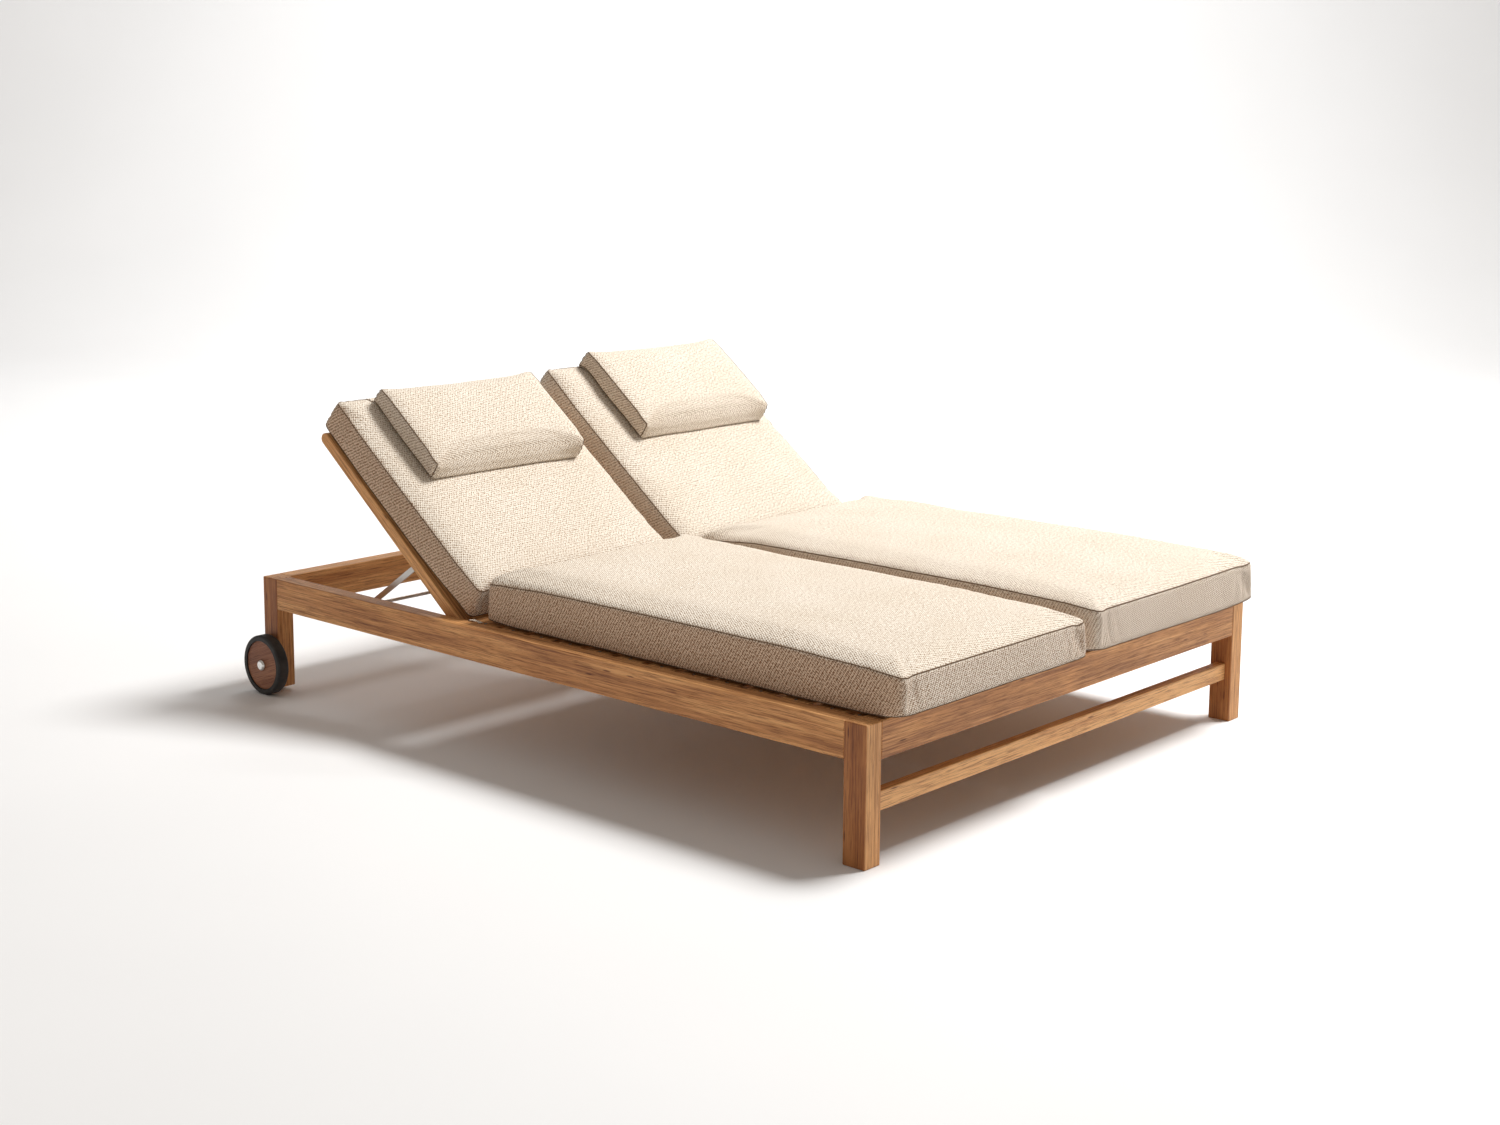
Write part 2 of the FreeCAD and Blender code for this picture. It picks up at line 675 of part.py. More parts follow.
def axle(side):
    """The steel axle: a shank fixed in the leg, and a collar that keeps the wheel off the leg."""
    body = new_body(f"axle_shank_{side}")
    reach = f"(leg_width + {DISC_END} + wheel_side_play)"
    revolve(body, rectangle(body, "XY_Plane", "axle_radius", reach))
    collar = document.addObject("Part::Cylinder", f"axle_collar_{side}")
    collar_length = f"({DISC_START} - wheel_side_play)"
    bind(collar, Radius="collar_radius", Height=collar_length)
    at_wheel(body, side, "-leg_width")
    start = "frame_width / 2" if side == "far" else f"-frame_width / 2 - {collar_length}"
    place(collar, AXLE_X, start, "wheel_radius", axis=(-1, 0, 0), angle="90")
    whole = document.addObject("Part::Fuse", f"axle_whole_{side}")
    whole.Base = body
    whole.Tool = collar
    subpart(whole, f"axle_{side}")


def wheel_disc(side):
    body, ring = turned(f"wheel_disc_{side}", "axle_radius + running_clearance",
                        "(wheel_radius - tyre_depth)", "disc_width")
    outer = SIZES["wheel_radius"] - SIZES["tyre_depth"]
    round_edges(body, ring, "disc_rounding", lambda edge: round_edge_of(edge, outer))
    subpart(at_wheel(body, side, DISC_START), f"wheel_disc_{side}")


def round_edge_of(edge, radius):
    """True for a circular edge of that radius."""
    return edge.Curve.TypeId == "Part::GeomCircle" and abs(edge.Curve.Radius - radius) < 0.01


def wheel_tyre(side):
    body, ring = turned(f"wheel_tyre_{side}", "(wheel_radius - tyre_depth)", "wheel_radius", "tyre_width")
    round_edges(body, ring, "tyre_rounding", is_rim("wheel_radius"))
    subpart(at_wheel(body, side, "wheel_gap"), f"wheel_tyre_{side}")


def axle_cap(side):
    """The domed cap on the axle's outer end."""
    body, ring = turned(f"axle_cap_{side}", FLAT, "cap_radius", "cap_height")
    outer_rim = max(edge.CenterOfMass.y for edge in ring.Shape.Edges)
    radius = SIZES["cap_radius"]

    def outer(edge):
        return round_edge_of(edge, radius) and abs(edge.CenterOfMass.y - outer_rim) < 0.01

    round_edges(body, ring, "cap_rounding", outer)
    subpart(at_wheel(body, side, f"{DISC_END} + wheel_side_play"), f"axle_cap_{side}")


# ---------------------------------------------------------------- cushions


def from_centre(side, gap, width):
    """The low Y of a piece that wide whose inner side lies gap from the centre line."""
    return f"(-{gap} - {width})" if side == "near" else f"{gap}"


def block(label, length, width, depth):
    """A plain box."""
    box = document.addObject("Part::Box", label)
    bind(box, Length=length, Width=width, Height=depth)
    return box


def cushion_width(side):
    """The cushions of one side reach from beside the centre line to a little inside the frame."""
    return f"(frame_width / 2 - {side}_cushion_gap - {side}_cushion_inset)"


def back_cushion_head(side):
    """How far up the backrest one side's back cushion reaches."""
    return f"({BACK_LENGTH} + {side}_cushion_over)"


def seat_cushion(side):
    setback = "far_cushion_setback" if side == "far" else "0"
    start = f"({PIVOT_X} + seat_cushion_from_pivot)"
    length = f"{FOOT} + cushion_overhang - {setback} - {start}"
    width = cushion_width(side)
    cushion = timber(f"seat_cushion_{side}", length, width, "seat_cushion_depth", "6 * arris")
    place(cushion, start, from_centre(side, f"{side}_cushion_gap", width), CUSHION_BOTTOM)
    subpart(cushion, f"seat_cushion_{side}")


def back_cushion(side):
    """The cushion on a backrest. Its tail is bevelled so that it clears the seat when raised."""
    label = f"back_cushion_{side}"
    length = f"{back_cushion_head(side)} + back_cushion_tail"
    width = cushion_width(side)
    body = bevelled_block(label, length, width, "back_cushion_depth", "tail_bevel_length", "tail_bevel_rise")
    y = from_centre(side, f"{side}_cushion_gap", width)
    place_on_back(body, f"-{back_cushion_head(side)}", y, BACK_CUSHION_BOTTOM)
    subpart(body, label)


def head_pillow(side):
    pillow = timber(f"head_pillow_{side}", "pillow_length", "pillow_width", "pillow_depth", "6 * arris")
    x = f"-{back_cushion_head(side)} + {side}_pillow_drop"
    y = from_centre(side, f"{side}_pillow_gap", "pillow_width")
    place_on_back(pillow, x, y, f"{BACK_CUSHION_TOP} + cushion_air")
    subpart(pillow, f"head_pillow_{side}")


def pillow_flap(side):
    """The cloth flap that hangs the pillow over the top of the back cushion."""
    y = from_centre(side, f"({side}_pillow_gap + (pillow_width - flap_width) / 2)", "flap_width")
    pillow_end = f"({back_cushion_head(side)} - {side}_pillow_drop)"
    over_end = f"({back_cushion_head(side)} + cushion_air + flap_thickness)"
    bottom = f"({BACK_CUSHION_TOP} + cushion_air)"
    across = f"{over_end} - {pillow_end} - cushion_air"
    top = block(f"flap_top_{side}", across, "flap_width", "flap_thickness")
    place_on_back(top, f"-{over_end}", y, bottom)
    fall = block(f"flap_fall_{side}", "flap_thickness", "flap_width", "flap_drop")
    place_on_back(fall, f"-{over_end}", y, f"{bottom} + flap_thickness - flap_drop")
    flap = document.addObject("Part::Fuse", f"pillow_flap_{side}")
    flap.Base = top
    flap.Tool = fall
    subpart(flap, f"pillow_flap_{side}")


# ---------------------------------------------------------------- the whole lounger


def build():
    """Makes every sub-part."""
    for side in SIDES:
        foot_leg(side)
        head_leg(side)
        side_rail(side)
        cleat(side)
    cross_rails()
    stretcher()
    centre_rail()
    seat_slats()
    slat_screws()
    hinge_pins()
    for side in SIDES:
        for position in ("outer", "inner"):
            stile(side, position)
        back_slats(side)
        stay_lugs(side)
        stay_arms(side)
        stay_rod(side)
        stay_racks(side)
        axle(side)
        wheel_disc(side)
        wheel_tyre(side)
        axle_cap(side)
        seat_cushion(side)
        back_cushion(side)
        head_pillow(side)
        pillow_flap(side)
    document.recompute()


def check():
    """Stops if any object failed to recompute, or a sub-part has no sound solid."""
    for thing in document.Objects:
        if "Invalid" in thing.State or "Error" in thing.State:
            raise RuntimeError(f"{thing.Name} is {thing.State}")
    for thing in subparts:
        if thing.Shape.isNull() or not thing.Shape.isValid() or not thing.Shape.Solids:
            raise RuntimeError(f"{thing.Label} has no sound solid")


def write():
    """Writes each sub-part to its own STEP file."""
    os.makedirs("parts", exist_ok=True)
    for thing in subparts:
        thing.Shape.exportStep(f"parts/{thing.Label}.step")
        box = thing.Shape.optimalBoundingBox()
        corners = (box.XMin, box.XMax, box.YMin, box.YMax, box.ZMin, box.ZMax)
        print(thing.Label, len(thing.Shape.Solids), " ".join(f"{value:.1f}" for value in corners))


build()
check()
write()
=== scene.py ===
import math
import bpy
import numpy as np
from mathutils import Matrix, Vector, noise
from mathutils.bvhtree import BVHTree


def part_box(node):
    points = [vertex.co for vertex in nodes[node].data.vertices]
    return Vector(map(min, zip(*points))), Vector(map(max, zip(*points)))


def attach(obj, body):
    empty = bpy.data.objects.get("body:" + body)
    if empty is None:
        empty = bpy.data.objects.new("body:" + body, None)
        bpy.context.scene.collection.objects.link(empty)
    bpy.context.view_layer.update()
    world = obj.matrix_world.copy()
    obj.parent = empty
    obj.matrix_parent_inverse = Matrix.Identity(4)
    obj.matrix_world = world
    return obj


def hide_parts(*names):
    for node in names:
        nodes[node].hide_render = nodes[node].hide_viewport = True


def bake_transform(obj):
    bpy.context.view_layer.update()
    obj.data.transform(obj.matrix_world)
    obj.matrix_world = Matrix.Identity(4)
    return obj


# Double reclining sun lounger. Lengths are in metres, in the row frame: +X to the foot end, +Y to
# the far side, +Z up, with the origin on the ground under the middle of the lounger.

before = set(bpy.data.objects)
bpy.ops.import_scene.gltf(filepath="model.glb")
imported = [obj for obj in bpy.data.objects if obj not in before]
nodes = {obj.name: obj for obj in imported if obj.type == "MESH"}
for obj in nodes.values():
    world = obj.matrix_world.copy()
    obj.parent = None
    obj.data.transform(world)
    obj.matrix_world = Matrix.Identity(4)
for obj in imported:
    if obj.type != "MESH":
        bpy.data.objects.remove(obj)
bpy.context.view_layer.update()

BACK_ANGLE = math.radians(38.3)
PIVOT = Vector((-0.29775, 0.0, 0.282))
SEAT_HEAD = -0.2045
SEAT_Z = 0.2985


def on_back(s, y, w):
    """The point that lies s up a backrest from its pivot and w out from it, at that y."""
    c, d = math.cos(BACK_ANGLE), math.sin(BACK_ANGLE)
    return PIVOT.x - c * s + d * w, y, PIVOT.z + d * s + c * w


def ramp(value, table):
    """Reads value off a table of (place, height) points, with straight runs between them."""
    xs, ys = zip(*table)
    return np.interp(value, xs, ys)


# ---------------------------------------------------------------- materials


class Shader:
    """A node material with a Principled surface, built with short calls.

    Inputs are named by keyword, with _ for a space, or by number as i0, i1 and so on.
    """

    def __init__(self, name):
        self.material = bpy.data.materials.new(name)
        self.material.use_nodes = True
        self.tree = self.material.node_tree
        self.surface = self.tree.nodes["Principled BSDF"]

    def add(self, kind, settings=None, **inputs):
        node = self.tree.nodes.new(kind)
        for key, value in (settings or {}).items():
            setattr(node, key, value)
        for key, value in inputs.items():
            self.join(node, key.replace("_", " "), value)
        return node

    def join(self, node, key, value):
        numbered = key[0] == "i" and key[1:].isdigit()
        socket = node.inputs[int(key[1:]) if numbered else key]
        if isinstance(value, bpy.types.NodeSocket):
            self.tree.links.new(value, socket)
        else:
            socket.default_value = value

    def math(self, operation, a, b=0.0, c=0.0):
        return self.add("ShaderNodeMath", {"operation": operation}, i0=a, i1=b, i2=c).outputs[0]

    def noise(self, vector, scale, detail=2.0, rough=0.5, distortion=0.0):
        return self.add("ShaderNodeTexNoise", Vector=vector, Scale=scale, Detail=detail, Roughness=rough,
                        Distortion=distortion).outputs["Fac"]

    def mapping(self, vector, scale=(1, 1, 1), rotation=(0, 0, 0)):
        return self.add("ShaderNodeMapping", Vector=vector, Scale=scale, Rotation=rotation).outputs[0]

    def colours(self, factor, stops):
        node = self.add("ShaderNodeValToRGB", Fac=factor)
        elements = node.color_ramp.elements
        while len(elements) < len(stops):
            elements.new(0.5)
        for element, (place, colour) in zip(elements, stops):
            element.position = place
            element.color = (*colour, 1)
        return node.outputs[0]

    def mix(self, factor, a, b, blend="MIX"):
        node = self.add("ShaderNodeMix", {"data_type": "RGBA", "blend_type": blend})
        self.join(node, "i0", factor)
        self.join(node, "i6", a)
        self.join(node, "i7", b)
        return node.outputs[2]

    def bump(self, height, strength, distance, normal=None):
        node = self.add("ShaderNodeBump", Height=height, Strength=strength, Distance=distance)
        if normal is not None:
            self.join(node, "Normal", normal)
        return node.outputs[0]

    def set(self, **inputs):
        for key, value in inputs.items():
            self.join(self.surface, key.replace("_", " "), value)
        return self.material


def teak(name, rotation, dark=(0.27, 0.098, 0.030), mid=(0.56, 0.258, 0.088), light=(0.80, 0.44, 0.178),
         painted_side_shade=(1.0, 0.95, 0.90, 1.0)):
    """Oiled teak whose grain runs along X once the coordinates are turned by rotation.

    The last colour is multiplied into the boards' sides, which face near and far, as painted shade.
    """
    s = Shader(name)
    place = s.add("ShaderNodeTexCoord").outputs["Object"]
    board = s.add("ShaderNodeObjectInfo").outputs["Random"]
    shift = s.add("ShaderNodeCombineXYZ", X=s.math("MULTIPLY", board, 7.3), Y=s.math("MULTIPLY", board, 3.1),
                  Z=s.math("MULTIPLY", board, 5.7)).outputs[0]
    along = s.mapping(place, rotation=rotation)
    along = s.add("ShaderNodeVectorMath", {"operation": "ADD"}, i0=along, i1=shift).outputs[0]
    figure = s.noise(s.mapping(along, scale=(1.1, 9, 9)), 2.2, 3, 0.55, 0.6)
    grain = s.noise(s.mapping(along, scale=(1.2, 75, 75)), 3.0, 5, 0.68, 0.15)
    pores = s.noise(s.mapping(along, scale=(4.5, 150, 150)), 3.4, 3, 0.7)
    rings = s.add("ShaderNodeTexWave", {"wave_type": "BANDS", "bands_direction": "Y"},
                  Vector=s.mapping(along, scale=(0.55, 15, 9)), Scale=2.1, Distortion=7.5, Detail=3.0,
                  Detail_Scale=1.1, Detail_Roughness=0.6).outputs["Fac"]
    tone = s.math("ADD", s.math("MULTIPLY", figure, 0.26), s.math("MULTIPLY", grain, 0.52))
    tone = s.math("ADD", tone, s.math("MULTIPLY", rings, 0.12))
    tone = s.math("ADD", tone, s.math("MULTIPLY_ADD", board, 0.10, 0.05))
    colour = s.colours(tone, [(0.36, dark), (0.51, mid), (0.66, light)])
    streak = s.colours(pores, [(0.36, (0.36, 0.27, 0.21)), (0.52, (1, 1, 1))])
    colour = s.mix(0.8, colour, streak, "MULTIPLY")
    knots = s.add("ShaderNodeTexVoronoi", Vector=s.mapping(along, scale=(6.0, 42, 42)), Scale=1.0,
                  Randomness=1.0).outputs["Distance"]
    knots = s.colours(knots, [(0.05, (0.25, 0.16, 0.12)), (0.095, (1, 1, 1))])
    colour = s.mix(0.9, colour, knots, "MULTIPLY")
    worn = s.noise(along, 26, 3, 0.6)
    rough = s.math("ADD", s.math("MULTIPLY", worn, 0.16), s.math("MULTIPLY_ADD", pores, -0.10, 0.50))
    relief = s.bump(pores, 0.32, 0.0006, s.bump(grain, 0.25, 0.0012))
    # Painted shade: the faces that look near and far are darkened by the side colour.
    normal = s.add("ShaderNodeSeparateXYZ", Vector=s.add("ShaderNodeTexCoord").outputs["Normal"])
    sideways = s.math("ABSOLUTE", normal.outputs[1])
    colour = s.mix(sideways, colour, s.mix(1.0, colour, painted_side_shade, "MULTIPLY"))
    return s.set(Base_Color=colour, Roughness=rough, Normal=relief, Specular_IOR_Level=0.42)


YARN_PITCH = 0.0082
YARN_CREAM = (0.92, 0.85, 0.745)
YARN_TAN = (0.30, 0.185, 0.10)
YARN_MIDDLE = tuple((a + b) / 2 for a, b in zip(YARN_CREAM, YARN_TAN))


def woven(name, side_panel_shade=1.0, ends=1.0):
    """Loosely woven outdoor cloth: fat uneven yarns crossing at a slant, mottled cream and tan.

    The side and end panels are painted darker, browner and more contrasty than the tops, as painted shade. The
    weight after the name is how much of it the side panels get, and ends is how much the end panels get.
    """
    s = Shader(name)
    flat = s.add("ShaderNodeUVMap", {"uv_map": "cloth"}).outputs[0]
    place = s.add("ShaderNodeTexCoord").outputs["Object"]
    wander = s.add("ShaderNodeTexNoise", Vector=flat, Scale=55.0, Detail=2.0).outputs["Color"]
    wander = s.add("ShaderNodeVectorMath", {"operation": "SCALE"}, Vector=wander, Scale=0.0045).outputs[0]
    laid = s.add("ShaderNodeVectorMath", {"operation": "ADD"}, i0=flat, i1=wander).outputs[0]
    parts = s.add("ShaderNodeSeparateXYZ", Vector=s.mapping(laid, scale=(1 / YARN_PITCH, 1 / YARN_PITCH, 1)))
    across, up = parts.outputs[0], parts.outputs[1]
    slant = s.math("ADD", across, s.math("MULTIPLY", up, 0.5))
    warp = s.math("SINE", s.math("MULTIPLY", slant, math.tau))
    weft = s.math("SINE", s.math("MULTIPLY", up, math.tau))
    knit = s.math("MULTIPLY_ADD", s.math("MULTIPLY", warp, weft), 0.5, 0.5)
    fuzz = s.noise(flat, 380, 3, 0.65)
    fleck = s.noise(s.mapping(flat, scale=(1, 1.5, 1)), 150, 2, 0.6)
    slub = s.noise(s.mapping(flat, scale=(1, 2.4, 1)), 90, 2, 0.6)
    cloud = s.noise(place, 6.5, 3, 0.5)
    height = s.math("ADD", s.math("MULTIPLY", knit, 0.36), s.math("MULTIPLY", fuzz, 0.55))
    tone = s.math("MULTIPLY", fleck, 0.90)
    for pattern, part in ((knit, 0.46), (fuzz, 0.25), (slub, 0.15)):
        tone = s.math("MULTIPLY_ADD", pattern, part, tone)
    # Painted shade from here on: panels that face sideways get a lower, more contrasty tone, a greyer and
    # darker colour, and on the near and far sides a browner one.
    normal = s.add("ShaderNodeSeparateXYZ", Vector=s.add("ShaderNodeTexCoord").outputs["Normal"])
    side = s.add("ShaderNodeMapRange", Value=s.math("ABSOLUTE", normal.outputs[2]), From_Min=0.72,
                 From_Max=0.30).outputs[0]
    sideways = s.math("ABSOLUTE", normal.outputs[1])
    painted_side_shade = s.math("MULTIPLY", s.math("MULTIPLY", side, sideways), side_panel_shade)
    side = s.math("MULTIPLY", side, s.math("MULTIPLY_ADD", sideways, side_panel_shade - ends, ends))
    depth = s.math("MULTIPLY_ADD", side, 1.0, 1.3)
    middle = s.math("MULTIPLY_ADD", side, -0.04, 0.57)
    tone = s.math("MULTIPLY_ADD", s.math("SUBTRACT", tone, 0.88), depth, middle)
    colour = s.colours(tone, [(0.26, YARN_TAN), (0.46, YARN_MIDDLE), (0.62, YARN_CREAM)])
    tint = s.colours(cloud, [(0.30, (0.95, 0.935, 0.91)), (0.70, (1.0, 1.0, 1.0))])
    colour = s.mix(1.0, colour, tint, "MULTIPLY")
    colour = s.mix(side, colour, s.mix(1.0, colour, (0.86, 0.83, 0.82, 1.0), "MULTIPLY"))
    colour = s.mix(painted_side_shade, colour, s.mix(1.0, colour, (1.0, 0.83, 0.70, 1.0), "MULTIPLY"))
    rough = s.math("MULTIPLY_ADD", fuzz, 0.12, 0.80)
    relief = s.bump(height, 1.0, 0.0034)
    return s.set(Base_Color=colour, Roughness=rough, Normal=relief, Specular_IOR_Level=0.18, Sheen_Weight=0.22,
                 Sheen_Roughness=0.55, Sheen_Tint=(1.0, 0.95, 0.86, 1.0))


def seam_shade_thread(name):
    """A sewn seam's thread, darkened nearly to black as painted shade of the seam's fold, with its yarn's
    twist.
    """
    s = Shader(name)
    place = s.add("ShaderNodeTexCoord").outputs["Object"]
    twist = s.noise(place, 420, 2)
    colour = s.colours(twist, [(0.35, (0.085, 0.05, 0.028)), (0.65, (0.20, 0.13, 0.078))])
    return s.set(Base_Color=colour, Roughness=0.9, Normal=s.bump(twist, 0.5, 0.0005), Specular_IOR_Level=0.1)


def rubber(name):
    """Black rubber with fine grit and a little dust."""
    s = Shader(name)
    place = s.add("ShaderNodeTexCoord").outputs["Object"]
    grit = s.noise(place, 480, 4, 0.6)
    dust = s.noise(place, 34, 4, 0.6)
    colour = s.colours(dust, [(0.35, (0.017, 0.016, 0.016)), (0.75, (0.045, 0.042, 0.040))])
    rough = s.math("MULTIPLY_ADD", grit, 0.20, 0.50)
    return s.set(Base_Color=colour, Roughness=rough, Normal=s.bump(grit, 0.35, 0.0005), Specular_IOR_Level=0.45)


def metal(name, colour, rough, stretch):
    """Brushed or polished steel. stretch is the direction scale of its fine scratches."""
    s = Shader(name)
    place = s.add("ShaderNodeTexCoord").outputs["Object"]
    lines = s.noise(s.mapping(place, scale=stretch), 60, 4, 0.6)
    smear = s.noise(place, 45, 3)
    tone = s.colours(smear, [(0.3, tuple(c * 0.86 for c in colour)), (0.7, colour)])
    roughness = s.math("MULTIPLY_ADD", lines, 0.16, rough)
    return s.set(Base_Color=tone, Metallic=1.0, Roughness=roughness, Normal=s.bump(lines, 0.12, 0.0003))


QUARTER = math.pi / 2
TEAK_X = teak("teak_along_x", (0, 0, 0))
TEAK_Y = teak("teak_along_y", (0, 0, -QUARTER))
# The legs' darker palette and their strong brown side colour are painted shade.
TEAK_Z = teak("teak_along_z", (0, QUARTER, 0), dark=(0.25, 0.085, 0.026), mid=(0.50, 0.222, 0.072),
              light=(0.70, 0.365, 0.140), painted_side_shade=(0.66, 0.50, 0.38, 1.0))
TEAK_BACK = teak("teak_along_back", (0, -BACK_ANGLE, 0))
WHEEL_WOOD = teak("wheel_wood", (0, 0.35, 0), dark=(0.17, 0.062, 0.030), mid=(0.285, 0.112, 0.055),
                  light=(0.40, 0.180, 0.095))
# Copies of one cloth that differ only in painted shade: the first has it on its side and end panels, the second
# only on its end panels, the pillow's a little on its sides.
CLOTH = woven("woven_cloth")
CLOTH_UNSHADED_SIDES = woven("woven_cloth_unshaded_sides", side_panel_shade=0.0)
PILLOW_CLOTH = woven("woven_cloth_pillow", side_panel_shade=0.25, ends=0.0)
SEAM_SHADE_THREAD = seam_shade_thread("seam_thread_painted_shade")
RUBBER = rubber("tyre_rubber")
STEEL = metal("brushed_steel", (0.62, 0.60, 0.58), 0.24, (1, 1, 6))
POLISHED = metal("polished_steel", (0.80, 0.79, 0.77), 0.10, (1, 1, 1))

FINISHES = (
    ("leg_", TEAK_Z), ("side_rail", TEAK_X), ("slat_cleat", TEAK_X),
    ("head_rail", TEAK_Y), ("foot_rail", TEAK_Y), ("stretcher", TEAK_Y), ("centre_rail", TEAK_X),
    ("seat_slat", TEAK_Y), ("closing_slat", TEAK_Y), ("back_stile", TEAK_BACK), ("back_slats", TEAK_Y),
    ("stay_racks", TEAK_X), ("stay_", STEEL), ("hinge_pins", STEEL), ("slat_screws", STEEL),
    ("axle_cap", POLISHED), ("axle_", STEEL), ("wheel_disc", WHEEL_WOOD), ("wheel_tyre", RUBBER),
    ("seat_cushion", CLOTH), ("back_cushion", CLOTH), ("head_pillow", PILLOW_CLOTH), ("pillow_flap", CLOTH),
)
for node_name, node in nodes.items():
    finish = next(material for start, material in FINISHES if node_name.startswith(start))
    node.data.materials.clear()
    node.data.materials.append(finish)


# ---------------------------------------------------------------- cushions


def lattice(counts):
    """Lattice points on the surface of a box of counts cells, its outward quads, and each quad's panel."""
    nx, ny, nz = counts
    points, index, quads, panels = [], {}, [], []

    def at(i, j, k):
        if (i, j, k) not in index:
            index[i, j, k] = len(points)
            points.append((i, j, k))
        return index[i, j, k]

    def quad(panel, *corners):
        quads.append([at(*corner) for corner in corners])
        panels.append(panel)

    for i in range(nx):
        for j in range(ny):
            quad("flat", (i, j, 0), (i, j + 1, 0), (i + 1, j + 1, 0), (i + 1, j, 0))
            quad("flat", (i, j, nz), (i + 1, j, nz), (i + 1, j + 1, nz), (i, j + 1, nz))
    for k in range(nz):
        for i in range(nx):
            quad("side", (i, 0, k), (i + 1, 0, k), (i + 1, 0, k + 1), (i, 0, k + 1))
            quad("side", (i, ny, k), (i, ny, k + 1), (i + 1, ny, k + 1), (i + 1, ny, k))
        for j in range(ny):
            quad("end", (0, j, k), (0, j, k + 1), (0, j + 1, k + 1), (0, j + 1, k))
            quad("end", (nx, j, k), (nx, j + 1, k), (nx, j + 1, k + 1), (nx, j, k + 1))
    return np.array(points, float), quads, panels


def round_corners(x, y, half_x, half_y, radius):
    """Moves points of a rectangle so that its corners become arcs."""
    over_x = np.clip(np.abs(x) - (half_x - radius), 0, None)
    over_y = np.clip(np.abs(y) - (half_y - radius), 0, None)
    in_x = over_x * np.sqrt(1 - over_y ** 2 / (2 * radius ** 2))
    in_y = over_y * np.sqrt(1 - over_x ** 2 / (2 * radius ** 2))
    return x - np.sign(x) * (over_x - in_x), y - np.sign(y) * (over_y - in_y)


def mesh_object(name, points, faces):
    """A new object of these points and faces, in the scene."""
    mesh = bpy.data.meshes.new(name)
    mesh.from_pydata([tuple(p) for p in points], [], faces)
    made = bpy.data.objects.new(name, mesh)
    bpy.context.scene.collection.objects.link(made)
    return made


def coordinates(mesh):
    found = np.empty(len(mesh.vertices) * 3)
    mesh.vertices.foreach_get("co", found)
    return found.reshape(-1, 3)


def set_coordinates(mesh, points):
    mesh.vertices.foreach_set("co", np.asarray(points, float).ravel())
    mesh.update()


def normals(mesh):
    found = np.empty(len(mesh.vertices) * 3)
    mesh.vertices.foreach_get("normal", found)
    return found.reshape(-1, 3)


def apply_modifiers(piece):
    """Leaves the piece with its mesh as its modifiers show it, and no modifier."""
    graph = bpy.context.evaluated_depsgraph_get()
    mesh = bpy.data.meshes.new_from_object(piece.evaluated_get(graph), preserve_all_data_layers=True,
                                           depsgraph=graph)
    piece.modifiers.clear()
    old = piece.data
    piece.data = mesh
    bpy.data.meshes.remove(old)


SWELL_FRAMES = 20


def inflate(piece, held, pressure, limit):
    """Blows the cover up as cloth for a moment, and keeps each point within limit of where it began.

    held has each point's share of being pinned. It returns the furthest that a point moved freely.
    """
    start = coordinates(piece.data)
    group = piece.vertex_groups.new(name="held")
    for strength in np.unique(held):
        if strength > 0:
            group.add([int(n) for n in np.flatnonzero(held == strength)], float(strength), "REPLACE")
    cloth = piece.modifiers.new("cloth", "CLOTH")
    settings = cloth.settings
    settings.quality = 4
    settings.mass = 0.35
    settings.tension_stiffness = 18
    settings.compression_stiffness = 12
    settings.shear_stiffness = 6
    settings.bending_stiffness = 0.25
    settings.use_pressure = True
    settings.uniform_pressure_force = pressure
    settings.vertex_group_mass = "held"
    settings.pin_stiffness = 1.0
    settings.effector_weights.gravity = 0
    cloth.collision_settings.use_collision = False
    cloth.collision_settings.use_self_collision = False
    cloth.point_cache.frame_start = 1
    cloth.point_cache.frame_end = SWELL_FRAMES + 1
    scene = bpy.context.scene
    for number in range(1, SWELL_FRAMES + 1):
        scene.frame_set(number)
    graph = bpy.context.evaluated_depsgraph_get()
    swollen = coordinates(piece.evaluated_get(graph).to_mesh())
    moved = swollen - start
    length = np.linalg.norm(moved, axis=1, keepdims=True)
    moved *= np.tanh(length / limit) * limit / np.maximum(length, 1e-9)
    piece.modifiers.clear()
    scene.frame_set(1)
    set_coordinates(piece.data, start + moved)
    return float(length.max())


GATHER_REACH = 0.033
GATHER_FADE = 0.011
CORNER_PUCKER = 0.0013


def gathers(grid, counts, cell, places, seed, wrapped):
    """How far each point stands out where the cloth gathers at the upper seams and at the corners."""
    depth = 0.0008 if wrapped else 0.0024
    nx, ny, nz = counts
    i, j, k = grid.T
    to_side = np.minimum(j, ny - j)
    to_end = np.minimum(i, nx - i)
    from_edge = to_side if wrapped else np.minimum(to_end, to_side)
    away = np.where(k > nz - 0.01, from_edge, nz - k) * cell
    lift = np.zeros(len(grid))
    for n in np.flatnonzero((away < GATHER_REACH) & (k > nz * 0.3)):
        x, y, _ = places[n]
        fine = noise.noise(Vector((x * 62, y * 62, seed)))
        slow = 0.55 + 0.9 * noise.noise(Vector((x * 9, y * 9, seed + 5)))
        lift[n] = depth * fine * max(slow, 0.1) * math.exp(-away[n] / GATHER_FADE)
    corner = np.hypot(to_side, to_end) * cell
    height = k * cell
    pucker = np.sin(height / 0.0125 * math.tau + seed + 3 * np.sin(height * 90))
    lift += CORNER_PUCKER * pucker * np.exp(-corner / 0.012) * (k < nz)
    return lift


# Each fold's distance from the corner, its depth and its half width.
END_FOLDS = ((0.030, 0.0026, 0.007), (0.052, 0.0030, 0.006), (0.088, 0.0018, 0.008), (0.150, 0.0010, 0.010))


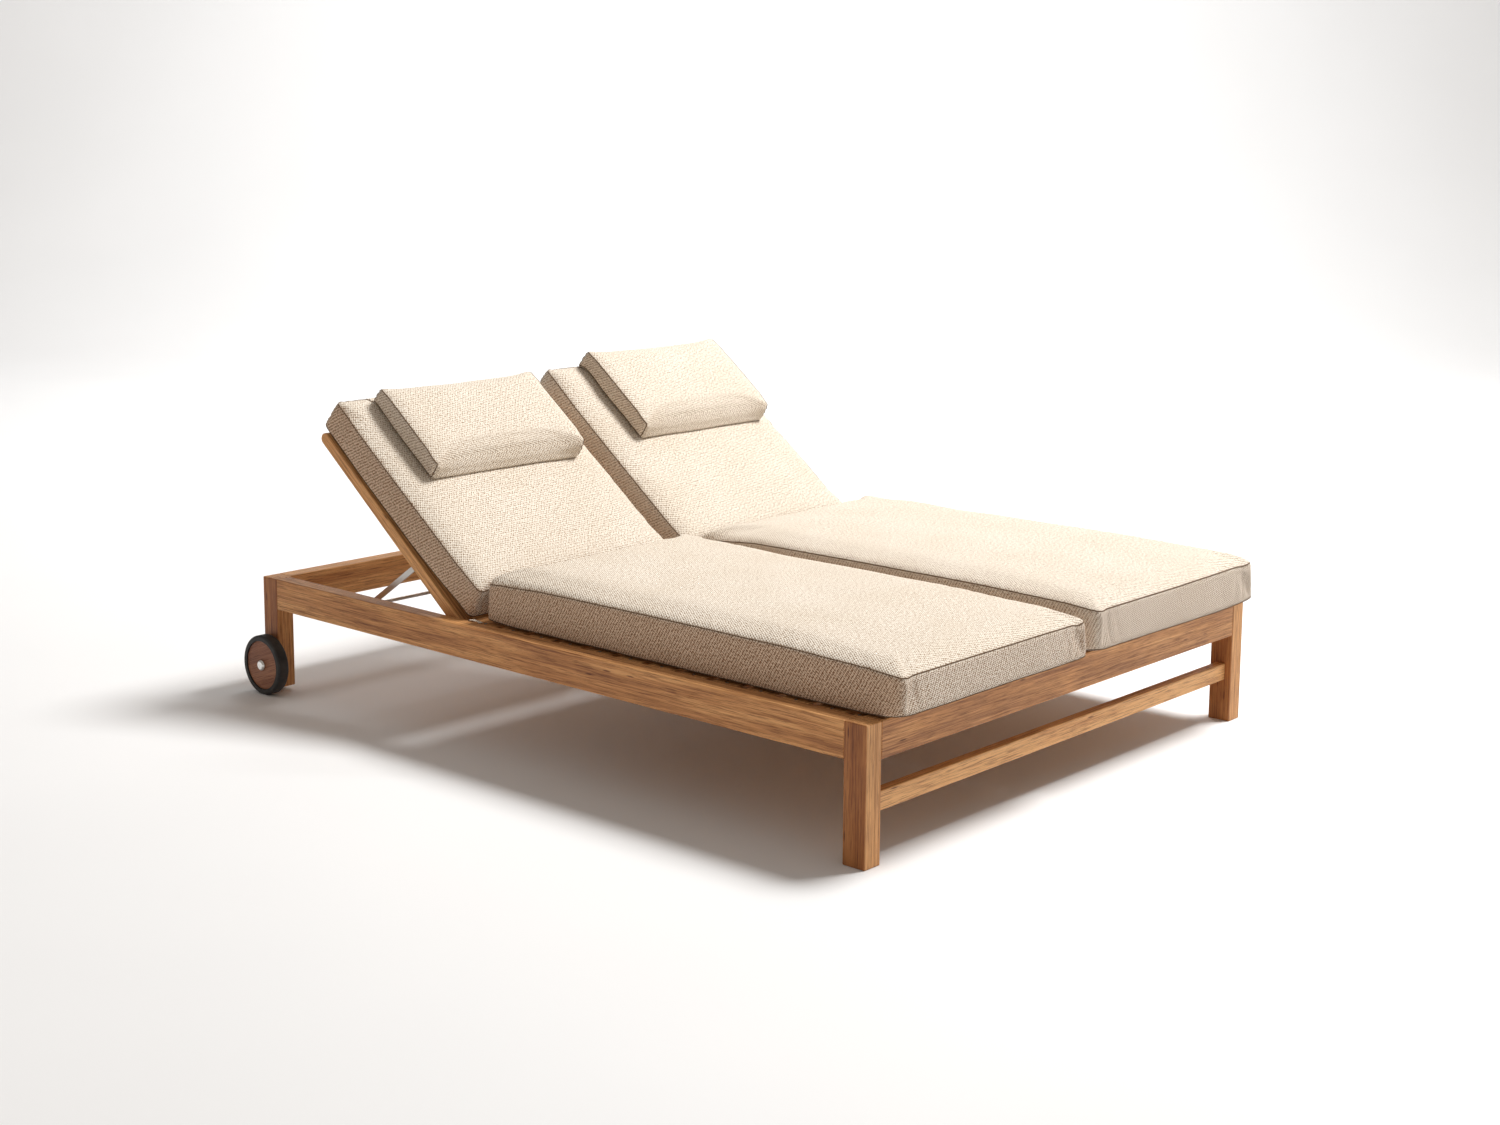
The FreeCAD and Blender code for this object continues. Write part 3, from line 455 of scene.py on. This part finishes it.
def folds(grid, counts, cell, seed):
    """How far each point stands in at the shallow upright folds by the foot-end panel's two corners."""
    nx, ny, nz = counts
    i, j, k = grid.T
    lift = np.zeros(len(grid))
    at_foot = i > nx - 0.01
    up = k / nz
    for number, (place, depth, width) in enumerate(END_FOLDS):
        for corner in (0, ny * cell):
            lean = 0.012 * math.sin(seed + number * 1.7)
            away = np.abs(j * cell - corner) - place - lean * (up - 0.5) - 0.003 * np.sin(up * 5 + number)
            lift -= depth * np.exp(-(away / width) ** 2) * at_foot * np.sin(np.pi * np.clip(up, 0, 1)) ** 0.7
    return lift


SEAM_PULL = 0.35
SEAM_DIP = 0.0016
UNEVENNESS = 0.0018


def cushion(name, size, cell, place, radius, limit, pressure, seed, cloth, wrapped=False):
    """A boxed cushion: cloth panels over foam, swollen by a short cloth simulation.

    size is (length, width, height). place turns arrays of x from the middle, y from the middle, a share of
    the height and the distance from the panel's edge into points in the row frame. A wrapped cushion's top
    runs on over its two ends, so that only its sides are boxed. It returns the piece, each point's place in
    the lattice and the lattice's counts.
    """
    length, width, height = size
    counts = tuple(max(4, round(side / cell)) for side in size)
    grid, quads, panels = lattice(counts)
    share = grid / np.array(counts)
    from_end = (0.5 - np.abs(share[:, 0] - 0.5)) * length
    from_side = (0.5 - np.abs(share[:, 1] - 0.5)) * width
    x, y = round_corners((share[:, 0] - 0.5) * length, (share[:, 1] - 0.5) * width,
                         length / 2, width / 2, radius)
    points = np.array(place(x, y, share[:, 2], np.minimum(from_end, from_side))).T
    piece = mesh_object(name, points, quads)
    flat = grid * (np.array(size) / np.array(counts))
    cloth_map = piece.data.uv_layers.new(name="cloth")
    pick = {"flat": (0, 1), "side": (0, 2), "end": (1, 2)}
    corners = np.array([[flat[v][pick[panel][0]], flat[v][pick[panel][1]]]
                        for quad, panel in zip(quads, panels) for v in quad])
    cloth_map.uv.foreach_set("vector", corners.astype(np.float32).ravel())
    kept = piece.data.attributes.new("grid", "FLOAT_VECTOR", "POINT")
    kept.data.foreach_set("vector", grid.astype(np.float32).ravel())

    nx, ny, nz = counts
    i, j, k = grid.T
    sides = (j == 0) | (j == ny)
    ends = (i == 0) | (i == nx)
    if wrapped:
        seams = sides & (ends | (k == 0) | (k == nz))
    else:
        seams = (sides | ends) & ((k == 0) | (k == nz))
    held = np.zeros(len(grid))
    held[seams] = SEAM_PULL
    held[k == 0] = 1.0
    swell = 0.0
    swell = inflate(piece, held, pressure, limit)
    points = coordinates(piece.data) - normals(piece.data) * (SEAM_DIP * seams)[:, None]
    set_coordinates(piece.data, points)

    smooth = piece.modifiers.new("smooth", "SUBSURF")
    smooth.levels = 1
    smooth.render_levels = 1
    apply_modifiers(piece)
    mesh = piece.data
    fine = np.empty(len(mesh.vertices) * 3, np.float32)
    mesh.attributes["grid"].data.foreach_get("vector", fine)
    fine = fine.reshape(-1, 3).astype(float)
    points = coordinates(mesh)
    lift = gathers(fine, counts, cell, points, seed, wrapped)
    if not wrapped:
        lift += folds(fine, counts, cell, seed)
    for n, point in enumerate(points):
        lift[n] += UNEVENNESS * noise.noise(Vector(point) * 7.5 + Vector((seed, 0, 0)))
    points += normals(mesh) * lift[:, None]
    set_coordinates(mesh, points)
    mesh.shade_smooth()
    mesh.materials.append(cloth)
    print(name, "vertices", len(mesh.vertices), "swell", round(swell * 1000, 1))
    return piece, fine, counts


SEAM_RADIUS = 0.0013
SEAM_STAND = 0.0001


def seam(piece, fine, counts, panel, name):
    """A thin sewn line round one panel of the piece: top, low, near or far."""
    nx, ny, nz = counts
    points = coordinates(piece.data)
    outward = normals(piece.data)
    if panel in ("top", "low"):
        axis, level, turn = 2, nz if panel == "top" else 0, ny
        run, rise = fine[:, 0], fine[:, 1]
    else:
        axis, level, turn = 1, ny if panel == "far" else 0, nz
        run, rise = fine[:, 0], fine[:, 2]
    order = {}
    for n in np.flatnonzero(np.abs(fine[:, axis] - level) < 0.01):
        a, b = run[n], rise[n]
        if b < 0.01:
            order[a] = n
        elif a > nx - 0.01:
            order[nx + b] = n
        elif b > turn - 0.01:
            order[nx + turn + (nx - a)] = n
        elif a < 0.01:
            order[2 * nx + turn + (turn - b)] = n
    line = bpy.data.curves.new(name, "CURVE")
    line.dimensions = "3D"
    line.bevel_depth = SEAM_RADIUS
    line.bevel_resolution = 1
    line.resolution_u = 2
    spline = line.splines.new("NURBS")
    chosen = [order[key] for key in sorted(order)]
    spline.points.add(len(chosen) - 1)
    for spot, n in zip(spline.points, chosen):
        spot.co = (*(points[n] + outward[n] * SEAM_STAND), 1)
    spline.use_cyclic_u = True
    spline.order_u = 3
    made = bpy.data.objects.new(name, line)
    bpy.context.scene.collection.objects.link(made)
    graph = bpy.context.evaluated_depsgraph_get()
    mesh = bpy.data.meshes.new_from_object(made.evaluated_get(graph))
    bpy.data.objects.remove(made)
    tube = bpy.data.objects.new(name, mesh)
    bpy.context.scene.collection.objects.link(tube)
    # The tube's near black finish is painted shade of the seam's fold.
    mesh.materials.clear()
    mesh.materials.append(SEAM_SHADE_THREAD)
    mesh.shade_smooth()
    return tube


# Each side's own values. Heads and feet are measured up the backrest from its pivot.
SEEDS = {"near": {"seat": 3.0, "back": 13.0, "pillow": 23.0},
         "far": {"seat": 8.0, "back": 19.0, "pillow": 29.0}}
BACK_HEAD = {"near": 0.671, "far": 0.694}
PILLOW_SPAN = {"near": (0.353, 0.645), "far": (0.378, 0.689)}
FLAP_SPAN = {"near": (0.642, 0.674), "far": (0.676, 0.697)}
# The far cushions take the cloth without painted shade on their side panels.
BOXED_CLOTH = {"near": CLOTH, "far": CLOTH_UNSHADED_SIDES}
COARSE_CELL = 0.0105
FINE_CELL = 0.0078

# Heights along a seat cushion, from its head end at 0 to its foot end at 1.
SEAM_LIFT = ((0.0, 0.391), (0.04, 0.396), (0.15, 0.401), (0.40, 0.403), (0.75, 0.402), (0.93, 0.397),
             (1.0, 0.390))
DOME = ((0.0, 0.031), (0.1, 0.023), (0.3, 0.016), (0.7, 0.015), (0.9, 0.010), (1.0, 0.012))
LOW_LIFT = ((0.0, 0.007), (0.03, 0.003), (0.08, 0.0), (0.93, 0.0), (0.97, 0.003), (1.0, 0.010))
SEAT_INSET = 0.003
SEAT_FLOOR = 0.2975
SEAT_HEAD_BULGE = 0.0040


def rounded(distance, reach):
    """Rises from 0 at a panel's edge to 1 at reach from it, steeply at first."""
    return np.sqrt(1 - (1 - np.clip(distance / reach, 0, 1)) ** 2)


def seat_cushion(side):
    """A seat cushion. The far one lies a little higher, and its foot-end corner stands out and up."""
    lo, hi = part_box(f"seat_cushion_{side}")
    length, width = hi.x - SEAT_HEAD - SEAT_INSET, hi.y - lo.y - 2 * SEAT_INSET
    middle_x, middle_y = (hi.x - SEAT_INSET + SEAT_HEAD) / 2, (hi.y + lo.y) / 2
    rise = 0.010 if side == "far" else 0.0

    def place(x, y, up, edge):
        along = x / length + 0.5
        across = np.abs(y) / width * 2
        # The underside turns up by 4 mm at its sides. The top is 6 mm higher at its far head-end corner.
        bottom = SEAT_Z + ramp(along, LOW_LIFT) + 0.004 * np.clip((across - 0.9) / 0.1, 0, 1)
        top = ramp(along, SEAM_LIFT) + rise * np.clip(along * 6, 0, 1)
        top = top + 0.006 * np.clip(y / width + 0.5, 0, 1) * (1 - along)
        top = top + ramp(along, DOME) * rounded(edge, 0.05)
        # From 0 to 1 towards the far cushion's foot-end corner on the far side.
        corner = np.clip(y / width * 2, 0, 1) * along * (side == "far")
        bottom, top = bottom + 0.010 * corner ** 4, top + 0.008 * corner
        return middle_x + x + 0.006 * corner, middle_y + y + 0.016 * corner, bottom + (top - bottom) * up

    piece, fine, counts = cushion(f"seat_cover_{side}", (length, width, 0.100), COARSE_CELL, place,
                                  radius=0.022, limit=0.011, pressure=3.0, seed=SEEDS[side]["seat"],
                                  cloth=BOXED_CLOTH[side])
    points = coordinates(piece.data)
    points[:, 2] = np.maximum(points[:, 2], SEAT_FLOOR)
    points[:, 0] = np.maximum(points[:, 0], SEAT_HEAD - SEAT_HEAD_BULGE)
    set_coordinates(piece.data, points)
    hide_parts(f"seat_cushion_{side}")
    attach(piece, "frame")
    for level in ("top", "low"):
        line = seam(piece, fine, counts, level, f"seat_seam_{level}_{side}")
        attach(line, "frame")


# Heights out from the backrest's hinge line, by the distance up the backrest.
BACK_LOW = ((-0.025, 0.037), (0.0, 0.0365), (0.041, 0.0365), (0.116, 0.030), (0.227, 0.0215), (0.475, 0.0190),
            (0.650, 0.0190), (0.680, 0.0240))
BACK_TOP = ((-0.025, 0.1175), (0.0, 0.112), (0.1, 0.1035), (0.392, 0.0965), (0.549, 0.0945), (0.661, 0.099))
BACK_TAIL = -0.0195
BACK_INSET = 0.004


def back_cushion(side):
    """A back cushion, which bends with the backrest near its lower end."""
    lo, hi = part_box(f"back_cushion_{side}")
    lift = 0.0 if side == "near" else 0.006
    length, width = BACK_HEAD[side] - BACK_TAIL, hi.y - lo.y - 2 * BACK_INSET
    middle = (BACK_HEAD[side] + BACK_TAIL) / 2
    middle_y = (hi.y + lo.y) / 2

    def place(x, y, up, edge):
        s = middle - x
        # The tail's end stands upright at rest: its upper edge is 14 mm further up the backrest.
        s = s + 0.014 * up * np.clip((0.09 - s) / 0.1, 0, 1)
        bottom = ramp(s, BACK_LOW)
        top = ramp(s, BACK_TOP) + lift * np.clip(s / 0.6, 0, 1) + 0.006 * rounded(edge, 0.045)
        return on_back(s, middle_y + y, bottom + (top - bottom) * up)

    piece, fine, counts = cushion(f"back_cover_{side}", (length, width, 0.080), COARSE_CELL, place,
                                  radius=0.018, limit=0.010, pressure=3.0, seed=SEEDS[side]["back"],
                                  cloth=BOXED_CLOTH[side])
    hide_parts(f"back_cushion_{side}")
    parts = [piece]
    for level in ("top", "low"):
        parts.append(seam(piece, fine, counts, level, f"back_seam_{level}_{side}"))
    for part in parts:
        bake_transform(part)
    return piece


def surface_tree(piece):
    """A tree for finding points on the piece's surface."""
    return BVHTree.FromPolygons([tuple(p) for p in coordinates(piece.data)],
                                [tuple(f.vertices) for f in piece.data.polygons])


PILLOW_WIDTH = 0.512
PILLOW_AIR = 0.0012
RAY_HEIGHT = 0.3
USUAL_TOP = 0.098


def head_pillow(side, cover):
    """A pillow that lies on the back cushion, shaped underneath to the cushion's own top."""
    lo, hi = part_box(f"head_pillow_{side}")
    foot, head = PILLOW_SPAN[side]
    middle, middle_y = (foot + head) / 2, (hi.y + lo.y) / 2
    half = (head - foot) / 2
    lift = 0.0 if side == "near" else 0.005
    tree = surface_tree(cover)
    down = Vector(on_back(0, 0, 0)) - Vector(on_back(0, 0, 1))
    heights = ((foot, 0.164), (foot + 0.06, 0.170), (head - 0.05, 0.169), (head, 0.163))

    def rest(s, y):
        """How high the cushion's top stands at s and y."""
        hit = tree.ray_cast(Vector(on_back(s, y, RAY_HEIGHT)), down)
        return RAY_HEIGHT - hit[3] if hit[0] is not None else USUAL_TOP

    def place(x, y, up, edge):
        s = middle - x
        across = np.abs(y) / PILLOW_WIDTH * 2
        low = np.array([rest(a, middle_y + b) for a, b in zip(s, y)]) + PILLOW_AIR
        # The underside turns up by 10 mm at the two sides.
        low = low + 0.010 * np.clip((across - 0.93) / 0.07, 0, 1) ** 2
        tall = ramp(s, heights) + lift + 0.004 * rounded(PILLOW_WIDTH / 2 - np.abs(y), 0.03)
        # The ends are round, most of all in the middle of the width, and the foot face leans back.
        full = 1 - across ** 4
        turn = np.where(up > 0.5, 0.018 + 0.014 * full, 0.010)
        out, over = round_corners(x, (up - 0.5) * (tall - low), half, (tall - low) / 2, turn)
        lean = 0.020 * full * up * np.clip(out / half * 2 - 1, 0, 1)
        return on_back(middle - out + lean, middle_y + y, (low + tall) / 2 + over)

    piece, fine, counts = cushion(f"pillow_cover_{side}", (head - foot, PILLOW_WIDTH, 0.060), FINE_CELL,
                                  place, radius=0.020, limit=0.0045, pressure=2.0,
                                  seed=SEEDS[side]["pillow"], cloth=PILLOW_CLOTH, wrapped=True)
    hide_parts(f"head_pillow_{side}")
    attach(piece, f"back_{side}")
    for panel in ("near", "far"):
        line = seam(piece, fine, counts, panel, f"pillow_seam_{panel}_{side}")
        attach(line, f"back_{side}")


def cloth_sheet(name, columns, column_step, row_step, thickness):
    """A thin sheet of cloth through columns of points. The steps are the cloth map's, in metres."""
    rows = len(columns[0])
    points = [point for column in columns for point in column]
    faces = []
    for column in range(len(columns) - 1):
        for row in range(rows - 1):
            a = column * rows + row
            faces.append((a, a + 1, a + rows + 1, a + rows))
    piece = mesh_object(name, points, faces)
    uv = piece.data.uv_layers.new(name="cloth")
    for loop in piece.data.loops:
        column, row = divmod(loop.vertex_index, rows)
        uv.uv[loop.index].vector = Vector(column_step) * column + Vector(row_step) * row
    shell = piece.modifiers.new("thickness", "SOLIDIFY")
    shell.thickness = thickness
    shell.offset = 0.0
    apply_modifiers(piece)
    piece.data.materials.append(CLOTH)
    piece.data.shade_smooth()
    return piece


FLAP_WIDTH = 0.5
FLAP_COLUMNS = 50
FLAP_STAND = 0.0016
FLAP_THICKNESS = 0.0016


def pillow_flap(side, cover):
    """The cloth that hangs from the pillow over the cushion's top end."""
    tree = surface_tree(cover)
    start, end = FLAP_SPAN[side]
    lo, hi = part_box(f"pillow_flap_{side}")
    middle_y = (lo.y + hi.y) / 2
    line = [(s, 0.112) for s in np.linspace(start, end - 0.004, 6)]
    line += [(end + 0.008, w) for w in np.linspace(0.100, 0.034, 14)]
    columns = []
    for number in range(FLAP_COLUMNS + 1):
        y = middle_y + FLAP_WIDTH * (number / FLAP_COLUMNS - 0.5)
        columns.append([])
        for s, w in line:
            near, normal, _, _ = tree.find_nearest(Vector(on_back(s, y, w)))
            columns[-1].append(near + normal * FLAP_STAND)
    piece = cloth_sheet(f"pillow_strap_{side}", columns, (0.01, 0), (0, 0.0055), FLAP_THICKNESS)
    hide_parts(f"pillow_flap_{side}")
    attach(piece, f"back_{side}")


TIE_WIDTH = 0.010
TIE_LENGTH = 0.046
TIE_ROWS = 16
TIE_COLUMNS = 4
TIE_THICKNESS = 0.0014
TIE_START = (-0.243, -0.706, 0.3017)


def rail_tie():
    """The end of the near seat cushion's fixing tie, lying over the side rail by the hinge."""
    x, y, z = TIE_START
    columns = []
    for column in range(TIE_COLUMNS + 1):
        across = (column / TIE_COLUMNS - 0.5) * TIE_WIDTH
        columns.append([])
        for row in range(TIE_ROWS + 1):
            share = row / TIE_ROWS
            columns[-1].append((x + TIE_LENGTH * share + 0.0008 * math.sin(share * 9),
                                y + across + 0.003 * math.sin(share * 4),
                                z + 0.0011 * math.sin(share * 7.5) ** 2))
    piece = cloth_sheet("cushion_tie", columns, (0, 0.0025), (TIE_LENGTH / TIE_ROWS, 0), TIE_THICKNESS)
    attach(piece, "frame")


rail_tie()
for side in ("near", "far"):
    seat_cushion(side)
    back_cover = back_cushion(side)
    head_pillow(side, back_cover)
    pillow_flap(side, back_cover)


# ---------------------------------------------------------------- studio


VIEW_AZIMUTH = math.radians(41.73)
VIEW_PITCH = math.radians(9.0)
VIEW_ROLL = math.radians(0.38)
VIEW_PLACE = (3.52979, -3.94164, 1.49422)
VIEW_LENS = 51.16
VIEW_SHIFT = -0.075
ASIDE = Vector((math.cos(VIEW_AZIMUTH), math.sin(VIEW_AZIMUTH), 0))

FLOOR_FRONT = -14.0
FLOOR_BACK = 7.0
FLOOR_HALF_WIDTH = 22.0
SWEEP_RADIUS = 4.0
SWEEP_STEPS = 16
WALL_TOP = 14.0
FLOOR_DROP = 0.0002


def backdrop():
    """A pale floor that sweeps up into a wall far behind."""
    away = Vector((-math.sin(VIEW_AZIMUTH), math.cos(VIEW_AZIMUTH), 0))
    profile = [(FLOOR_FRONT, 0.0), (FLOOR_BACK, 0.0)]
    for step in range(1, SWEEP_STEPS + 1):
        turn = step / SWEEP_STEPS * math.pi / 2
        profile.append((FLOOR_BACK + SWEEP_RADIUS * math.sin(turn), SWEEP_RADIUS * (1 - math.cos(turn))))
    profile.append((FLOOR_BACK + SWEEP_RADIUS, WALL_TOP))
    points, faces = [], []
    for along, up in profile:
        for across in (-FLOOR_HALF_WIDTH, FLOOR_HALF_WIDTH):
            points.append(away * along + ASIDE * across + Vector((0, 0, up - FLOOR_DROP)))
    for n in range(len(profile) - 1):
        faces.append((2 * n, 2 * n + 1, 2 * n + 3, 2 * n + 2))
    floor = mesh_object("backdrop", points, faces)
    floor.data.shade_smooth()
    s = Shader("pale_floor")
    place = s.add("ShaderNodeTexCoord").outputs["Object"]
    soft = s.noise(place, 0.8, 2)
    colour = s.colours(soft, [(0.3, (0.83, 0.84, 0.85)), (0.7, (0.85, 0.86, 0.87))])
    floor.data.materials.append(s.set(Base_Color=colour, Roughness=0.9, Specular_IOR_Level=0.0))


def area_light(name, place, target, size, power, colour=(1, 1, 1)):
    """A round area light at place that faces target."""
    data = bpy.data.lights.new(name, "AREA")
    data.shape = "DISK"
    data.size = size
    data.energy = power
    data.color = colour
    light = bpy.data.objects.new(name, data)
    bpy.context.scene.collection.objects.link(light)
    light.location = place
    light.rotation_euler = (Vector(target) - Vector(place)).to_track_quat("-Z", "Y").to_euler()


def camera():
    """The camera, with its turn built from the way it looks and a slight roll."""
    level = math.cos(VIEW_PITCH)
    ahead = Vector((-math.sin(VIEW_AZIMUTH) * level, math.cos(VIEW_AZIMUTH) * level, -math.sin(VIEW_PITCH)))
    above = ASIDE.cross(ahead)
    right = ASIDE * math.cos(VIEW_ROLL) + above * math.sin(VIEW_ROLL)
    up = above * math.cos(VIEW_ROLL) - ASIDE * math.sin(VIEW_ROLL)
    turn = Matrix((right, up, -ahead)).transposed().to_4x4()
    data = bpy.data.cameras.new("camera")
    data.lens = VIEW_LENS
    data.sensor_width = 36.0
    data.shift_y = VIEW_SHIFT
    seen = bpy.data.objects.new("camera", data)
    bpy.context.scene.collection.objects.link(seen)
    seen.matrix_world = Matrix.Translation(VIEW_PLACE) @ turn
    bpy.context.scene.camera = seen
    bpy.context.scene.view_settings.view_transform = "Standard"


backdrop()
camera()
area_light("key", (2.0, 3.0, 6.5), target=(0.0, 0.1, 0.3), size=2.4, power=660, colour=(1.0, 0.99, 0.975))
area_light("wall", (-3.0, 3.4, 6.5), target=(-6.5, 7.3, 1.5), size=3.2, power=430)
world = bpy.data.worlds.new("studio")
world.use_nodes = True
bpy.context.scene.world = world
fill = world.node_tree.nodes["Background"]
fill.inputs["Color"].default_value = (1.0, 0.90, 0.81, 1.0)
fill.inputs["Strength"].default_value = 0.35
